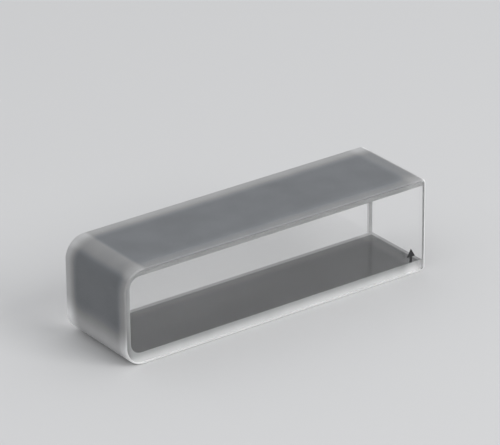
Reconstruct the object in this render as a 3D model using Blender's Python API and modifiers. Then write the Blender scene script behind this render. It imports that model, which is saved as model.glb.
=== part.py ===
"""Rectangular glass cuvette with a rounded closed end, lying on one of its ground sides.

Two polished windows are fused to a ground, U-shaped frame, and the fused blank is ground flush.
The mouth faces +X and the closed end -X. The windows face -Y and +Y. The cell rests on the
ground side at z = 0, and the origin is the middle of that side. All sizes are in metres.
"""

import math

import bmesh
import bpy
from mathutils import Matrix, Vector

# Driving dimensions.
LENGTH = 0.045  # from the closed end to the mouth
WIDTH = 0.0125  # outside, across the two windows
HEIGHT = 0.0125  # outside, across the two ground sides
WALL = 0.00125  # the windows, the ground sides and the closed end alike
END_RADIUS = 0.00275  # outside radius of the two rounded corners of the closed end
MOUTH_RADIUS = 0.0006  # outside radius of the two blunt corners at the mouth
EDGE_BREAK = 0.00025  # how far each outer edge is ground back
FUSED_LINE = 0.00002  # hairline between the frame and each window that is fused to it

# Fineness of the round stretches.
ARC_STEPS = 14  # straight steps in each rounded corner
EDGE_STEPS = 2  # flats across each ground-back edge

# Worked out from the driving dimensions.
CLOSED_END = -LENGTH / 2
MOUTH = LENGTH / 2
WINDOW_FACE = WIDTH / 2  # distance of each window's outer face from the middle
WINDOW_BACK = WINDOW_FACE - WALL  # distance of each window's inner face from the middle
CHAMBER_RADIUS = END_RADIUS - WALL
CUT_MARGIN = WALL  # how far a cutter runs past what it cuts

QUARTER_ARC = 4 / 3 * math.tan(math.pi / 8)  # handle length of a quarter circle, per radius
SHARP_ANGLE = math.radians(40)  # edges sharper than this are ground back, and shaded hard
FLAT_ANGLE = math.radians(1)
WELD = 0.000001

GROUND_GLASS = {"colour": (0.62, 0.64, 0.66, 1.0), "roughness": 0.55, "transmission": 0.35}
POLISHED_GLASS = {"colour": (0.96, 0.98, 0.98, 1.0), "roughness": 0.02, "transmission": 1.0}
SILICA_IOR = 1.46


def clear_scene():
    for obj in list(bpy.data.objects):
        bpy.data.objects.remove(obj, do_unlink=True)


def new_collection(name):
    collection = bpy.data.collections.new(name)
    bpy.context.scene.collection.children.link(collection)
    return collection


def glass(name, colour, roughness, transmission):
    material = bpy.data.materials.new(name)
    material.use_nodes = True
    shader = material.node_tree.nodes["Principled BSDF"]
    shader.inputs["Base Color"].default_value = colour
    shader.inputs["Roughness"].default_value = roughness
    shader.inputs["Metallic"].default_value = 0.0
    shader.inputs["IOR"].default_value = SILICA_IOR
    shader.inputs["Transmission Weight"].default_value = transmission
    return material


def u_outline(name, left, right, low, high, end_radius, mouth_radius):
    """A flat outline. Its corners have one radius at the closed end and another at the mouth."""
    corners = (
        (right, low, mouth_radius),
        (left, low, end_radius),
        (left, high, end_radius),
        (right, high, mouth_radius),
    )
    # Each point has its place, and the place of the handle on the side where an arc meets it.
    points = []
    heading = Vector((0, -1))
    for x, y, radius in corners:
        corner = Vector((x, y))
        turned = Vector((heading.y, -heading.x))
        if radius:
            reach = radius * (1 - QUARTER_ARC)
            points.append((corner - heading * radius, None, corner - heading * reach))
            points.append((corner + turned * radius, corner + turned * reach, None))
        else:
            points.append((corner, None, None))
        heading = turned
    curve = bpy.data.curves.new(name, "CURVE")
    curve.dimensions = "2D"
    curve.fill_mode = "BOTH"
    curve.resolution_u = ARC_STEPS
    spline = curve.splines.new("BEZIER")
    spline.bezier_points.add(len(points) - 1)
    spline.use_cyclic_u = True
    for bezier, (place, before, after) in zip(spline.bezier_points, points):
        bezier.co = (*place, 0)
        bezier.handle_left_type = "FREE" if before else "VECTOR"
        bezier.handle_right_type = "FREE" if after else "VECTOR"
        if before:
            bezier.handle_left = (*before, 0)
        if after:
            bezier.handle_right = (*after, 0)
    return curve


def upright_prism(name, curve, width):
    """A mesh of the outline stood up in the XZ plane and given its width along Y."""
    curve.extrude = width / 2
    guide = bpy.data.objects.new(name, curve)
    bpy.context.scene.collection.objects.link(guide)
    bpy.context.view_layer.update()
    graph = bpy.context.evaluated_depsgraph_get()
    mesh = bpy.data.meshes.new_from_object(guide.evaluated_get(graph), depsgraph=graph)
    mesh.name = name
    bpy.data.objects.remove(guide, do_unlink=True)
    mesh.transform(Matrix.Rotation(math.pi / 2, 4, "X"))
    shape = bmesh.new()
    shape.from_mesh(mesh)
    bmesh.ops.remove_doubles(shape, verts=shape.verts, dist=WELD)
    # Each flat end becomes one face, which leaves the bevel room to run round it.
    bmesh.ops.dissolve_limit(shape, verts=shape.verts, edges=shape.edges, angle_limit=FLAT_ANGLE)
    bmesh.ops.recalc_face_normals(shape, faces=shape.faces)
    shape.to_mesh(mesh)
    shape.free()
    return mesh


def as_cutter(obj, collection):
    for holder in list(obj.users_collection):
        holder.objects.unlink(obj)
    collection.objects.link(obj)
    obj.hide_render = True
    obj.display_type = "WIRE"
    return obj


def slab_cutter(name, near, far, collection):
    """A slab across the whole cell, between two places along Y."""
    bpy.ops.mesh.primitive_cube_add(size=1, location=(0, (near + far) / 2, HEIGHT / 2))
    slab = bpy.context.active_object
    slab.name = name
    slab.scale = (LENGTH + 2 * CUT_MARGIN, far - near, HEIGHT + 2 * CUT_MARGIN)
    return as_cutter(slab, collection)


def chamber_cutter(collection):
    """The sample chamber, open at the mouth and running on through it."""
    outline = u_outline(
        "chamber_outline",
        CLOSED_END + WALL,
        MOUTH + CUT_MARGIN,
        WALL,
        HEIGHT - WALL,
        CHAMBER_RADIUS,
        0,
    )
    mesh = upright_prism("chamber", outline, WIDTH)
    return as_cutter(bpy.data.objects.new("chamber_cutter", mesh), collection)


def boolean(obj, cutter, operation):
    modifier = obj.modifiers.new(cutter.name, "BOOLEAN")
    modifier.operation = operation
    modifier.solver = "EXACT"
    modifier.object = cutter


def piece(name, blank, material, collection):
    """One piece of the cell, which starts as the whole blank."""
    mesh = blank.copy()
    mesh.name = name
    mesh.materials.clear()
    mesh.materials.append(material)
    mesh.shade_smooth()
    mesh.set_sharp_from_angle(angle=SHARP_ANGLE)
    obj = bpy.data.objects.new(name, mesh)
    collection.objects.link(obj)
    bevel = obj.modifiers.new("ground_back_edges", "BEVEL")
    bevel.width = EDGE_BREAK
    bevel.segments = EDGE_STEPS
    bevel.limit_method = "ANGLE"
    bevel.angle_limit = SHARP_ANGLE
    return obj


def build_frame(blank, material, cuvette, cutters):
    frame = piece("u_frame", blank, material, cuvette)
    joint = WINDOW_BACK - FUSED_LINE
    boolean(frame, slab_cutter("frame_slab", -joint, joint, cutters), "INTERSECT")
    boolean(frame, chamber_cutter(cutters), "DIFFERENCE")


def build_window(name, side, blank, material, cuvette, cutters):
    window = piece(name, blank, material, cuvette)
    near, far = sorted((side * WINDOW_BACK, side * (WINDOW_FACE + CUT_MARGIN)))
    boolean(window, slab_cutter(name + "_slab", near, far, cutters), "INTERSECT")


def main():
    clear_scene()
    cuvette = new_collection("cuvette")
    cutters = new_collection("cutters")
    ground = glass("ground_glass", **GROUND_GLASS)
    polished = glass("polished_glass", **POLISHED_GLASS)
    outline = u_outline("blank_outline", CLOSED_END, MOUTH, 0, HEIGHT, END_RADIUS, MOUTH_RADIUS)
    blank = upright_prism("blank", outline, WIDTH)
    build_frame(blank, ground, cuvette, cutters)
    build_window("front_window", -1, blank, polished, cuvette, cutters)
    build_window("back_window", 1, blank, polished, cuvette, cutters)


main()
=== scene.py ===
"""A fused glass cuvette on a pale studio floor: a ground, U-shaped frame between two windows."""

import math

import bmesh
import bpy
from mathutils import Matrix, Quaternion, Vector


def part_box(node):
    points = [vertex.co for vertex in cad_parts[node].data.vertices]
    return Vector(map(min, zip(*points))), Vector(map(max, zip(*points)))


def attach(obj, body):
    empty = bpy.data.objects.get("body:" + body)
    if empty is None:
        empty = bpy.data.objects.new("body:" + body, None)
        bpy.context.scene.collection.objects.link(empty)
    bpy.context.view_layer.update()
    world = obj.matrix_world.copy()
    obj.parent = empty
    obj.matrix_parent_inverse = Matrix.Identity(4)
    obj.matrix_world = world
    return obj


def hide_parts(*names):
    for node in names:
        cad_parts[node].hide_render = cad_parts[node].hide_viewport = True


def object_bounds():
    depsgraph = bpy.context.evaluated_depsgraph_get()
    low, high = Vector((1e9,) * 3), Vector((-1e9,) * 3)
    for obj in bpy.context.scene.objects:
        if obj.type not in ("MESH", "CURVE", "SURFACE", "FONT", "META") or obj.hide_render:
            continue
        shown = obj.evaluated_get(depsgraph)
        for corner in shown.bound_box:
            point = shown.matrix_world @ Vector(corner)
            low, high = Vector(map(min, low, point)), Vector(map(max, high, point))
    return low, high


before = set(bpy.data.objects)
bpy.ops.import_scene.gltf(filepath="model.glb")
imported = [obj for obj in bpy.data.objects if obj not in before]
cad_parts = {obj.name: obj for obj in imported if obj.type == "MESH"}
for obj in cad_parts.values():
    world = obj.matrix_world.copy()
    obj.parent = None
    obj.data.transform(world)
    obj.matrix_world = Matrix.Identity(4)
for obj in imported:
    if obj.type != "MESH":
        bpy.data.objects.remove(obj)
cad_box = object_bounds()

MM = 0.001

# Sizes that the CAD frame gives.
CELL_LOW, CELL_HIGH = cad_box
CLOSED_END, MOUTH = CELL_LOW.x, CELL_HIGH.x
FLOOR, ROOF = CELL_LOW.z, CELL_HIGH.z
FRONT, BACK = CELL_LOW.y, CELL_HIGH.y
FRONT_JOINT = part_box("front_window")[1].y
BACK_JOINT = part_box("back_window")[0].y
WALL = FRONT_JOINT - FRONT
MIDDLE = (CELL_LOW + CELL_HIGH) / 2
HALF_HEIGHT = (ROOF - FLOOR) / 2

# Sizes that the frame's boxes can't give.
END_RADIUS = 2.75 * MM
MOUTH_RADIUS = 0.6 * MM
EDGE_BREAK = 0.25 * MM
INNER_BREAK = 0.08 * MM
JOINT_FILM = 0.004 * MM  # keeps the frame's fused faces just behind those of the windows
CORNER_STEPS = 24
BLUNT_STEPS = 6
EDGE_STEPS = 3
SMOOTH_UNDER = math.radians(12)
WELD = 0.001 * MM
NEAR = 0.01 * MM  # how close to a plane counts as lying in it
FACING = 0.5  # how much of a normal points one way where a face looks that way at all
SQUARE_ON = 0.99  # and where it looks straight that way
FLAT_ON = 0.999  # the same, on a plate, whose rounded edges start out almost flat

# The arrow printed near the mouth: its place, its head and its stem.
MARK_FROM_MOUTH = 2.3 * MM
MARK_HEIGHT = 2.5 * MM
MARK_FILM = 0.01 * MM  # how far the print stands out
MARK_THICKNESS = 0.8 * MARK_FILM
HEAD_RADIUS = 0.75 * MM
HEAD_RISE = 0.35 * MM
STEM_WIDTH = 0.4 * MM
STEM_LENGTH = 0.8 * MM
STEM_DROP = 0.43 * MM

# Tone borders of the ground glass, all painted light and shade: where each starts and where it is
# full, counted from its side.
FRONT_BORDER = (2.7 * MM, 0.05 * MM)
FRONT_DELAY = 0.8 * MM  # the front border starts this much later on the closed end
BACK_BORDER = (2.7 * MM, 0.5 * MM)
MOUTH_BORDER = (3.0 * MM, 1.7 * MM)
LIP_BORDER = (0.8 * MM, 0.15 * MM)
# The foot's border is painted light from below, and the sole's a painted glow along the bottom edge.
FOOT_BORDER = (5.6 * MM, 1.7 * MM)
SOLE_BORDER = (1.3 * MM, 0.1 * MM)
CEILING_BORDER = (1.3 * MM, 0.5 * MM)
END_BORDER = (1.6 * MM, 0.4 * MM)
# The bend's border is a painted highlight, where the curved corner catches light from above.
BEND_BORDER = (3.3 * MM, 2.6 * MM)
BEND_HEIGHT = (4.95 * MM, 5.75 * MM)  # counted up and down from the cell's middle

# The same for the chamber's walls, counted from the back joint and from the mouth: a painted
# reflection of the back window's light, a light line along the back joint and a painted highlight
# along the mouth's inner edge.
PAINTED_REFLECTION_BORDER = (2.7 * MM, 0.8 * MM)
SEAM_BY_JOINT = (0.75 * MM, 0.5 * MM)
MOUTH_HIGHLIGHT_BORDER = (0.7 * MM, 0.45 * MM)

DARKEST, LIGHTEST = 0.02, 0.97
EYE_GAMMA = 2.2  # turns a tone that the eye sees into light
NEUTRAL_GAIN = (0.02, 0.12)  # how much lighter than the panel a border is while it loses the tint

# Grain of the ground faces.
GRAIN_SIZE = 0.12 * MM
GRAIN_DETAIL = 3.0
SPECKLE_SPREAD = (0.3, 0.7)  # the stretch of the noise that the speckle uses
CLOUD_SIZE = 4 * MM
CLOUD_DETAIL = 1.5
CLOUD_SPREAD = (0.2, 0.8)
GRAIN_DEPTH = 0.02 * MM
GRAIN_RELIEF = 0.25
UNEVEN = 0.15  # share by which the roughness goes up and down

# Finishes.
SILICA_IOR = 1.46
SILICA_COLOUR = (0.99, 0.99, 0.99, 1)
SILICA_SHADOW = (0.95, 0.95, 0.95, 1)  # what a lamp's light keeps on its way through a plate
POLISHED_ROUGHNESS = (0.006, 0.02)
INK_COLOURS = ((0.008, 0.008, 0.009, 1), (0.02, 0.02, 0.022, 1))
INK_ROUGHNESS = (0.35, 0.5)
WHITE, BLACK = (1, 1, 1, 1), (0, 0, 0, 1)


# ---------------------------------------------------------------- nodes


class Nodes:
    """Short calls that add nodes to one tree and join them."""

    def __init__(self, tree):
        self.tree = tree

    def add(self, kind, **settings):
        node = self.tree.nodes.new(kind)
        for key, value in settings.items():
            setattr(node, key, value)
        return node

    def put(self, source, socket):
        if isinstance(source, bpy.types.NodeSocket):
            self.tree.links.new(source, socket)
        else:
            socket.default_value = source

    def maths(self, operation, first, second):
        node = self.add("ShaderNodeMath", operation=operation)
        self.put(first, node.inputs[0])
        self.put(second, node.inputs[1])
        return node.outputs[0]

    def ramp(self, value, low, high, to_low=0.0, to_high=1.0):
        """value taken smoothly from to_low at low to to_high at high."""
        node = self.add("ShaderNodeMapRange", interpolation_type="SMOOTHSTEP")
        for source, socket in zip((value, low, high, to_low, to_high), node.inputs):
            self.put(source, socket)
        return node.outputs["Result"]

    def border(self, place, side, inwards, reach):
        """A mask that grows towards a side of the cell. inwards is the sign of the way in."""
        start, full = reach
        return self.ramp(place, side + inwards * start, side + inwards * full)

    def mix(self, factor, first, second):
        node = self.add("ShaderNodeMix", data_type="RGBA")
        self.put(factor, node.inputs[0])
        self.put(first, node.inputs[6])
        self.put(second, node.inputs[7])
        return node.outputs[2]

    def noise(self, place, size, detail):
        """Noise whose blotches are about size across, in metres."""
        steps = self.add("ShaderNodeVectorMath", operation="SCALE")
        self.put(place, steps.inputs[0])
        self.put(self.maths("DIVIDE", 1.0, size), steps.inputs["Scale"])
        node = self.add("ShaderNodeTexNoise")
        self.put(steps.outputs[0], node.inputs["Vector"])
        node.inputs["Scale"].default_value = 1.0
        node.inputs["Detail"].default_value = detail
        return node.outputs["Fac"]


def socket_group(name, inputs, outputs):
    """An empty shader group. inputs are (name, kind, default), outputs are (name, kind)."""
    group = bpy.data.node_groups.new(name, "ShaderNodeTree")
    for label, kind, value in inputs:
        socket = group.interface.new_socket(label, in_out="INPUT", socket_type=kind)
        socket.default_value = value
    for label, kind in outputs:
        group.interface.new_socket(label, in_out="OUTPUT", socket_type=kind)
    nodes = Nodes(group)
    return group, nodes, nodes.add("NodeGroupInput").outputs, nodes.add("NodeGroupOutput").inputs


def grain_group():
    """Fine ground grain: a height for bump, a speckle for roughness and a slow cloud for tone."""
    number = "NodeSocketFloat"
    group, nodes, given, made = socket_group(
        "ground_grain",
        (("Grain size", number, GRAIN_SIZE), ("Cloud size", number, CLOUD_SIZE)),
        (("Height", number), ("Speckle", number), ("Cloud", number)),
    )
    place = nodes.add("ShaderNodeTexCoord").outputs["Object"]
    fine = nodes.noise(place, given["Grain size"], GRAIN_DETAIL)
    slow = nodes.noise(place, given["Cloud size"], CLOUD_DETAIL)
    nodes.put(fine, made["Height"])
    nodes.put(nodes.ramp(fine, *SPECKLE_SPREAD), made["Speckle"])
    nodes.put(nodes.ramp(slow, *CLOUD_SPREAD), made["Cloud"])
    return group


def painted_light_and_cloud_masks(nodes):
    """Where each border of painted light and shade on the ground glass lies. Gives the masks, and the
    one of the closed end.
    """
    place = nodes.add("ShaderNodeSeparateXYZ")
    nodes.put(nodes.add("ShaderNodeTexCoord").outputs["Object"], place.inputs[0])
    x, y, z = place.outputs
    on_end = nodes.border(x, CLOSED_END, 1, END_BORDER)
    front_start, front_full = FRONT_BORDER
    delay = nodes.maths("MULTIPLY", on_end, FRONT_DELAY)
    front_start = nodes.maths("SUBTRACT", FRONT + front_start, delay)
    by_joint = nodes.border(y, BACK_JOINT, -1, SEAM_BY_JOINT)
    by_mouth = nodes.border(x, MOUTH, -1, MOUTH_HIGHLIGHT_BORDER)
    over_wall = nodes.border(x, CLOSED_END, 1, BEND_BORDER)
    off_middle = nodes.maths("ABSOLUTE", nodes.maths("SUBTRACT", z, MIDDLE.z), 0.0)
    past_end = nodes.border(off_middle, 0, 1, BEND_HEIGHT)
    grain = nodes.add("ShaderNodeGroup", node_tree=GRAIN)
    # All of these but the cloud are borders of painted light or shade; the cloud is the glass's own
    # uneven tone.
    masks = {
        "Front": nodes.ramp(y, front_start, FRONT + front_full),
        "Back": nodes.border(y, BACK, -1, BACK_BORDER),
        "Mouth": nodes.border(x, MOUTH, -1, MOUTH_BORDER),
        "Lip": nodes.border(x, MOUTH, -1, LIP_BORDER),
        # a light line along the back joint, and a painted highlight along the mouth's inner edge
        "Seam": nodes.maths("MAXIMUM", by_joint, by_mouth),
        # a painted reflection of the back window's light
        "Painted reflection": nodes.border(y, BACK_JOINT, -1, PAINTED_REFLECTION_BORDER),
        "End": on_end,
        "Bend": nodes.maths("MULTIPLY", over_wall, past_end),
        "Ceiling": nodes.border(z, ROOF, -1, CEILING_BORDER),
        "Foot": nodes.border(z, FLOOR, 1, FOOT_BORDER),
        "Sole": nodes.border(z, FLOOR, 1, SOLE_BORDER),
        "Cloud": nodes.maths("SUBTRACT", grain.outputs["Cloud"], 0.5),
    }
    return masks, on_end


def glass_tone_with_painted_light():
    """The tone of ground glass, with light and shade painted in: darker over the empty chamber,
    lighter where solid glass backs it and would scatter light.

    Every input but Tint is a tone between 0 and 1, as the eye sees it. Panel is the tone over
    the chamber, and each of the others is what its border adds. End gain is how much more the
    front, back and foot borders add on the closed end. Tint colours the panel only. Cloud is the
    glass's own uneven tone; every other border is painted light or shade.
    """
    borders = ("Front", "Back", "Mouth", "Lip", "Seam", "Painted reflection")
    borders += ("End", "Bend", "Ceiling", "Foot", "Sole", "Cloud")
    number = "NodeSocketFloat"
    inputs = [("Panel", number, 0.4)]
    inputs += [(border, number, 0.0) for border in borders]
    inputs += [("End gain", number, 0.0), ("Tint", "NodeSocketColor", WHITE)]
    group, nodes, given, made = socket_group("ground_glass_painted_light", inputs, (("Color", "NodeSocketColor"),))
    masks, on_end = painted_light_and_cloud_masks(nodes)
    more = nodes.maths("ADD", 1.0, nodes.maths("MULTIPLY", on_end, given["End gain"]))
    tone = given["Panel"]
    for border in borders:
        part = nodes.maths("MULTIPLY", given[border], masks[border])
        if border in ("Front", "Back", "Foot"):
            part = nodes.maths("MULTIPLY", part, more)
        tone = nodes.maths("ADD", tone, part)
    tone = nodes.maths("MINIMUM", nodes.maths("MAXIMUM", tone, DARKEST), LIGHTEST)
    light = nodes.maths("POWER", tone, EYE_GAMMA)
    neutral = nodes.ramp(nodes.maths("SUBTRACT", tone, given["Panel"]), *NEUTRAL_GAIN)
    hue = nodes.mix(neutral, given["Tint"], WHITE)
    nodes.put(nodes.mix(light, BLACK, hue), made["Color"])
    return group


GRAIN = grain_group()
PAINTED_LIGHT_GROUP = glass_tone_with_painted_light()


# ---------------------------------------------------------------- materials


def new_material(name):
    material = bpy.data.materials.new(name)
    material.use_nodes = True
    material.node_tree.nodes.clear()
    nodes = Nodes(material.node_tree)
    grain = nodes.add("ShaderNodeGroup", node_tree=GRAIN)
    surface = nodes.add("ShaderNodeBsdfPrincipled")
    return material, nodes, grain.outputs, surface


def as_surface(nodes, shader):
    nodes.put(shader, nodes.add("ShaderNodeOutputMaterial").inputs["Surface"])


def painted_light_surface(nodes, surface, tone_and_painted_light):
    tone = nodes.add("ShaderNodeGroup", node_tree=PAINTED_LIGHT_GROUP)
    for label, value in tone_and_painted_light.items():
        tone.inputs[label].default_value = value
    nodes.put(tone.outputs["Color"], surface.inputs["Base Color"])
    surface.inputs["IOR"].default_value = SILICA_IOR


def uneven_roughness(nodes, surface, mask, roughness):
    low, high = roughness * (1 - UNEVEN), roughness * (1 + UNEVEN)
    nodes.put(nodes.ramp(mask, 0.0, 1.0, low, high), surface.inputs["Roughness"])


def ground_material(name, roughness, transmission, tone_and_painted_light):
    """Ground glass. Its colour has painted in the light it would scatter from what lies behind it, and
    it lets a little light in.
    """
    material, nodes, grain, surface = new_material(name)
    painted_light_surface(nodes, surface, tone_and_painted_light)
    uneven_roughness(nodes, surface, grain["Speckle"], roughness)
    bump = nodes.add("ShaderNodeBump")
    bump.inputs["Strength"].default_value = GRAIN_RELIEF
    bump.inputs["Distance"].default_value = GRAIN_DEPTH
    nodes.put(grain["Height"], bump.inputs["Height"])
    nodes.put(bump.outputs["Normal"], surface.inputs["Normal"])
    surface.inputs["Transmission Weight"].default_value = transmission
    as_surface(nodes, surface.outputs[0])
    return material


def chamber_material(name, roughness, sheen, tone_and_painted_light):
    """A polished inner face of the frame, through which the ground outer face shows, with the
    chamber's light and shade painted into its colour.
    """
    material, nodes, grain, surface = new_material(name)
    painted_light_surface(nodes, surface, tone_and_painted_light)
    uneven_roughness(nodes, surface, grain["Cloud"], roughness)
    surface.inputs["Specular IOR Level"].default_value = sheen
    as_surface(nodes, surface.outputs[0])
    return material


def polished_material():
    """Clear polished silica. Lamps shine through it as they do through a real thin plate."""
    material, nodes, grain, surface = new_material("polished_silica")
    surface.inputs["Base Color"].default_value = SILICA_COLOUR
    nodes.put(nodes.ramp(grain["Cloud"], 0.0, 1.0, *POLISHED_ROUGHNESS), surface.inputs["Roughness"])
    surface.inputs["IOR"].default_value = SILICA_IOR
    surface.inputs["Transmission Weight"].default_value = 1.0
    clear = nodes.add("ShaderNodeBsdfTransparent")
    clear.inputs["Color"].default_value = SILICA_SHADOW
    both = nodes.add("ShaderNodeMixShader")
    nodes.put(nodes.add("ShaderNodeLightPath").outputs["Is Shadow Ray"], both.inputs[0])
    nodes.put(surface.outputs[0], both.inputs[1])
    nodes.put(clear.outputs[0], both.inputs[2])
    as_surface(nodes, both.outputs[0])
    return material


def enamel_material():
    material, nodes, grain, surface = new_material("black_enamel")
    ink = nodes.mix(grain["Speckle"], *INK_COLOURS)
    nodes.put(ink, surface.inputs["Base Color"])
    nodes.put(nodes.ramp(grain["Speckle"], 0.0, 1.0, *INK_ROUGHNESS), surface.inputs["Roughness"])
    as_surface(nodes, surface.outputs[0])
    return material


# ---------------------------------------------------------------- pieces


# Places in each piece's list of materials. A plate's first one is for its polished faces.
FRAME_SKIN, FRAME_JOINT, FRAME_CHAMBER, FRAME_RIM = range(4)
PLATE_EDGE, PLATE_JOINT, PLATE_RIM = range(1, 4)


def finished(name, shape, materials, replaced):
    """The piece from its bmesh, at the origin, riding on the cell's one body."""
    bmesh.ops.recalc_face_normals(shape, faces=shape.faces)
    mesh = bpy.data.meshes.new(name)
    shape.to_mesh(mesh)
    shape.free()
    for material in materials:
        mesh.materials.append(material)
    mesh.shade_smooth()
    mesh.set_sharp_from_angle(angle=SMOOTH_UNDER)
    obj = bpy.data.objects.new(name, mesh)
    bpy.context.scene.collection.objects.link(obj)
    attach(obj, "root")
    if replaced:
        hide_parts(replaced)
    return obj


def carry(shape, faces, move):
    """Extrudes faces and moves their copies, and gives the copies."""
    made = bmesh.ops.extrude_face_region(shape, geom=faces)["geom"]
    verts = [item for item in made if isinstance(item, bmesh.types.BMVert)]
    bmesh.ops.translate(shape, verts=verts, vec=move)
    return [item for item in made if isinstance(item, bmesh.types.BMFace)]


def turn(shape, faces, centre, angle):
    """Spins faces round a corner's axis, which runs along Y, and gives the last copies."""
    geom = list(faces)
    geom += {edge for face in faces for edge in face.edges}
    geom += {vert for face in faces for vert in face.verts}
    made = bmesh.ops.spin(
        shape,
        geom=geom,
        cent=centre,
        axis=(0, 1, 0),
        angle=angle,
        steps=CORNER_STEPS,
        use_duplicate=False,
    )["geom_last"]
    return [item for item in made if isinstance(item, bmesh.types.BMFace)]


def in_plane(item, axis, place):
    return all(abs(vert.co[axis] - place) < NEAR for vert in item.verts)


def edges_at_mouth(shape):
    return [edge for edge in shape.edges if in_plane(edge, 0, MOUTH)]


def across(edges):
    """Those of the edges that run along Y, from window to window."""
    return [edge for edge in edges if abs(edge.verts[0].co.y - edge.verts[1].co.y) > NEAR]


def on_rim(face):
    """Whether a face belongs to the rim of the mouth or to its rounding."""
    face.normal_update()
    return face.normal.x > FACING and face.calc_center_median().x > MOUTH - MOUTH_RADIUS


def round_over(shape, edges, radius, steps):
    bmesh.ops.bevel(
        shape,
        geom=edges,
        offset=radius,
        segments=steps,
        profile=0.5,
        affect="EDGES",
        material=-1,
    )


def side_of_frame(face):
    """The material that a face of the frame takes, from the side it looks to."""
    if on_rim(face):
        return FRAME_RIM
    if abs(face.normal.y) > SQUARE_ON:
        return FRAME_JOINT
    to_chamber = Vector((MOUTH - END_RADIUS, 0, MIDDLE.z)) - face.calc_center_median()
    to_chamber.y = 0
    return FRAME_CHAMBER if face.normal.dot(to_chamber) > WELD else FRAME_SKIN


def u_frame():
    """The frame's section is carried along one side, round the closed end and back to the mouth."""
    shape = bmesh.new()
    near, far = FRONT_JOINT + JOINT_FILM, BACK_JOINT - JOINT_FILM
    corners = ((near, FLOOR), (far, FLOOR), (far, FLOOR + WALL), (near, FLOOR + WALL))
    section = shape.faces.new([shape.verts.new((MOUTH, y, z)) for y, z in corners])
    run = MOUTH - CLOSED_END - END_RADIUS
    rise = ROOF - FLOOR - 2 * END_RADIUS
    bend = CLOSED_END + END_RADIUS
    faces = carry(shape, [section], (-run, 0, 0))
    faces = turn(shape, faces, (bend, 0, FLOOR + END_RADIUS), math.pi / 2)
    faces = carry(shape, faces, (0, 0, rise))
    faces = turn(shape, faces, (bend, 0, ROOF - END_RADIUS), math.pi / 2)
    carry(shape, faces, (run, 0, 0))
    bmesh.ops.remove_doubles(shape, verts=shape.verts, dist=WELD)
    # Each change between carrying and turning leaves a face across the inside of the wall.
    inside = [face for face in shape.faces if all(len(edge.link_faces) > 2 for edge in face.edges)]
    bmesh.ops.delete(shape, geom=inside, context="FACES_ONLY")
    outer, inner = [], []
    for edge in across(edges_at_mouth(shape)):
        off_middle = abs(edge.verts[0].co.z - MIDDLE.z)
        (outer if off_middle > HALF_HEIGHT - WALL / 2 else inner).append(edge)
    round_over(shape, outer, MOUTH_RADIUS, BLUNT_STEPS)
    round_over(shape, inner, INNER_BREAK, 1)
    bmesh.ops.recalc_face_normals(shape, faces=shape.faces)
    for face in shape.faces:
        face.material_index = side_of_frame(face)
    return shape


def window(outside, joint):
    """A plate between its outside and the joint, with a fused, U-shaped band where the frame meets it.

    It starts longer than the cell, so that cutting it at the mouth leaves the band open there.
    """
    shape = bmesh.new()
    long = MOUTH - CLOSED_END + WALL
    place = Matrix.Translation((CLOSED_END + long / 2, (outside + joint) / 2, MIDDLE.z))
    size = Matrix.Diagonal((long, abs(outside - joint), ROOF - FLOOR, 1))
    bmesh.ops.create_cube(shape, size=1, matrix=place @ size)
    at_end = [edge for edge in shape.edges if in_plane(edge, 0, CLOSED_END)]
    round_over(shape, across(at_end), END_RADIUS, CORNER_STEPS)
    meeting = [face for face in shape.faces if in_plane(face, 1, joint)]
    band = bmesh.ops.inset_region(shape, faces=meeting, thickness=WALL, use_even_offset=True)["faces"]
    for face in band:
        face.material_index = PLATE_JOINT
    bmesh.ops.bisect_plane(
        shape,
        geom=shape.verts[:] + shape.edges[:] + shape.faces[:],
        plane_co=(MOUTH, 0, 0),
        plane_no=(1, 0, 0),
        clear_outer=True,
    )
    bmesh.ops.holes_fill(shape, edges=edges_at_mouth(shape))
    bmesh.ops.recalc_face_normals(shape, faces=shape.faces)
    round_over(shape, across(edges_at_mouth(shape)), MOUTH_RADIUS, BLUNT_STEPS)
    outline = [edge for edge in shape.edges if in_plane(edge, 1, outside)]
    round_over(shape, outline, EDGE_BREAK, EDGE_STEPS)
    for face in shape.faces:
        rim = on_rim(face)
        if abs(face.normal.y) < FLAT_ON:
            face.material_index = PLATE_RIM if rim else PLATE_EDGE
    return shape


def arrow():
    """A small arrow, printed on the front window near the mouth."""
    shape = bmesh.new()
    upright = Matrix.Rotation(math.pi / 2, 4, "X")
    place = Matrix.Translation((MOUTH - MARK_FROM_MOUTH, FRONT - MARK_FILM, FLOOR + MARK_HEIGHT))
    head = place @ Matrix.Translation((0, 0, HEAD_RISE)) @ upright
    bmesh.ops.create_circle(shape, cap_ends=True, radius=HEAD_RADIUS, segments=3, matrix=head)
    size = Matrix.Diagonal((STEM_WIDTH, 1, STEM_LENGTH, 1))
    stem = place @ Matrix.Translation((0, 0, -STEM_DROP)) @ size @ upright
    bmesh.ops.create_grid(shape, x_segments=1, y_segments=1, size=0.5, matrix=stem)
    carry(shape, list(shape.faces), (0, MARK_THICKNESS, 0))
    return shape


ground = ground_material(
    "ground_silica",
    roughness=0.5,
    transmission=0.15,
    tone_and_painted_light={
        # the glass's grey, painted darker for the shade of the empty chamber behind it
        "Panel": 0.44,
        # painted light scattered through the solid glass at the front plate's edge
        "Front": 0.09,
        # painted light through the back plate's edge, made lighter than the front for light from
        # behind
        "Back": 0.19,
        # painted light that the rim lets in near the mouth
        "Mouth": 0.08,
        # a painted highlight along the mouth's rounded edge
        "Lip": 0.36,
        # a painted highlight where the curved corners catch light from above
        "Bend": 0.1,
        # painted light from below, low on the sides and the closed end
        "Foot": 0.2,
        # a painted glow along the bottom edge
        "Sole": 0.2,
        "Cloud": 0.03,
        # paints the closed end's front, back and foot borders lighter still
        "End gain": 0.5,
        "Tint": (0.95, 1.0, 1.06, 1),
    },
)
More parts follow.
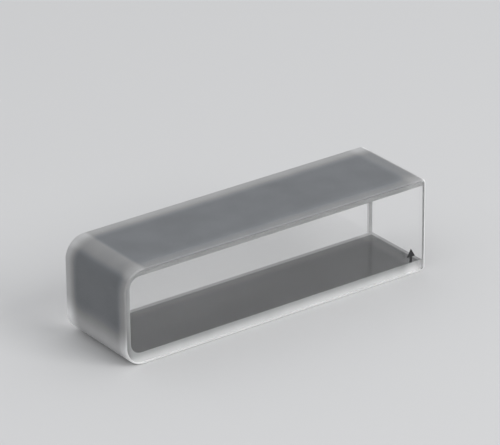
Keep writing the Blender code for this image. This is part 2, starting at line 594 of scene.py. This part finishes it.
# The rim's near-white tone is a painted glow, for light that its ground faces gather.
rim = ground_material(
    "ground_rim",
    roughness=0.5,
    transmission=0.45,
    tone_and_painted_light={"Panel": 0.92, "Cloud": 0.03},
)
fused = ground_material(
    "fused_face",
    roughness=0.6,
    transmission=0.0,
    tone_and_painted_light={
        "Panel": 0.67,
        # painted light near the mouth, making up for the shade of the rim
        "Mouth": 0.06,
        "Lip": 0.16,
        # darker towards the closed end
        "End": -0.14,
        # painted light towards the roof, making up for the shade under the window's top edge
        "Ceiling": 0.2,
        # darker lower down
        "Foot": -0.09,
        # a painted glow along the bottom edge
        "Sole": 0.18,
        "Cloud": 0.03,
        "Tint": (0.98, 1.0, 1.0, 1),
    },
)
inner = chamber_material(
    "chamber_wall",
    roughness=0.15,
    sheen=0.2,
    tone_and_painted_light={
        # the ground outer face's grey, painted darker for the shade inside the chamber
        "Panel": 0.28,
        # a painted reflection of the back window's light
        "Painted reflection": 0.09,
        # painted light near the mouth
        "Mouth": 0.06,
        # a light line along the back joint, and a painted highlight along the mouth's inner edge
        "Seam": 0.24,
        "Cloud": 0.02,
        "Tint": (0.98, 1.0, 1.02, 1),
    },
)
polished = polished_material()

frame_materials = [ground, fused, inner, rim]
plate_materials = [polished, ground, fused, rim]
body = finished("ground_frame", u_frame(), frame_materials, "u_frame")
front = finished("front_plate", window(FRONT, FRONT_JOINT), plate_materials, "front_window")
back = finished("back_plate", window(BACK, BACK_JOINT), plate_materials, "back_window")
printed = finished("printed_mark", arrow(), [enamel_material()], None)


# ---------------------------------------------------------------- studio

FLOOR_RADIUS = 3.0
FLOOR_GREY = (0.6, 0.6, 0.6, 1)
FLOOR_ROUGHNESS = 0.7
FLOOR_SHEEN = 0.2
FLOOR_DROP = 0.02 * MM  # keeps the studio floor clear of the cell's underside

DOME_LOW = (0.52, 0.525, 0.535, 1)
DOME_HIGH = (0.9, 0.91, 0.93, 1)

# The soft box, in metres and watts.
SOFTBOX_PLACE = (0.2, -0.55, 0.42)
SOFTBOX_SIZE = 0.4
SOFTBOX_POWER = 2.7

# The camera, as it looks at the cell.
CAMERA_AZIMUTH = math.radians(-35.96)
CAMERA_ELEVATION = math.radians(25.05)
CAMERA_ROLL = -0.009
CAMERA_DISTANCE = 461 * MM
CAMERA_LENS = 273.4  # in millimetres, on a sensor of the next width
CAMERA_SENSOR = 36
CAMERA_REACH = (0.01, 20)
AIM_RIGHT = 0.18 * MM  # how far off the cell's middle the camera aims
AIM_UP = 3.87 * MM


def studio_floor():
    material = bpy.data.materials.new("studio_floor")
    material.use_nodes = True
    surface = material.node_tree.nodes["Principled BSDF"]
    surface.inputs["Base Color"].default_value = FLOOR_GREY
    surface.inputs["Roughness"].default_value = FLOOR_ROUGHNESS
    surface.inputs["Specular IOR Level"].default_value = FLOOR_SHEEN
    shape = bmesh.new()
    place = Matrix.Translation((0, 0, FLOOR - FLOOR_DROP))
    bmesh.ops.create_circle(shape, cap_ends=True, radius=FLOOR_RADIUS, segments=96, matrix=place)
    mesh = bpy.data.meshes.new("studio_floor")
    shape.to_mesh(mesh)
    shape.free()
    mesh.materials.append(material)
    obj = bpy.data.objects.new("studio_floor", mesh)
    bpy.context.scene.collection.objects.link(obj)


def studio_light():
    """A pale dome, lighter overhead than at the horizon, and a soft box in front of the cell."""
    world = bpy.data.worlds.new("studio")
    world.use_nodes = True
    nodes = Nodes(world.node_tree)
    way = nodes.add("ShaderNodeSeparateXYZ")
    nodes.put(nodes.add("ShaderNodeTexCoord").outputs["Generated"], way.inputs[0])
    overhead = nodes.ramp(way.outputs["Z"], 0.0, 1.0)
    dome = nodes.mix(overhead, DOME_LOW, DOME_HIGH)
    nodes.put(dome, world.node_tree.nodes["Background"].inputs["Color"])
    bpy.context.scene.world = world
    bpy.context.scene.view_settings.view_transform = "Standard"
    lamp = bpy.data.lights.new("front_softbox", "AREA")
    lamp.size = SOFTBOX_SIZE
    lamp.energy = SOFTBOX_POWER
    obj = bpy.data.objects.new("front_softbox", lamp)
    bpy.context.scene.collection.objects.link(obj)
    obj.location = SOFTBOX_PLACE
    obj.rotation_euler = (MIDDLE - obj.location).to_track_quat("-Z", "Y").to_euler()


def camera():
    level = math.cos(CAMERA_ELEVATION)
    side, ahead = math.sin(CAMERA_AZIMUTH) * level, -math.cos(CAMERA_AZIMUTH) * level
    outwards = Vector((side, ahead, math.sin(CAMERA_ELEVATION)))
    turned = (-outwards).to_track_quat("-Z", "Y") @ Quaternion((0, 0, 1), CAMERA_ROLL)
    data = bpy.data.cameras.new("camera")
    data.lens = CAMERA_LENS
    data.sensor_width = CAMERA_SENSOR
    data.clip_start, data.clip_end = CAMERA_REACH
    obj = bpy.data.objects.new("camera", data)
    bpy.context.scene.collection.objects.link(obj)
    obj.rotation_euler = turned.to_euler()
    aim = MIDDLE + turned @ Vector((AIM_RIGHT, AIM_UP, 0))
    obj.location = aim + outwards * CAMERA_DISTANCE
    bpy.context.scene.camera = obj


studio_floor()
studio_light()
camera()
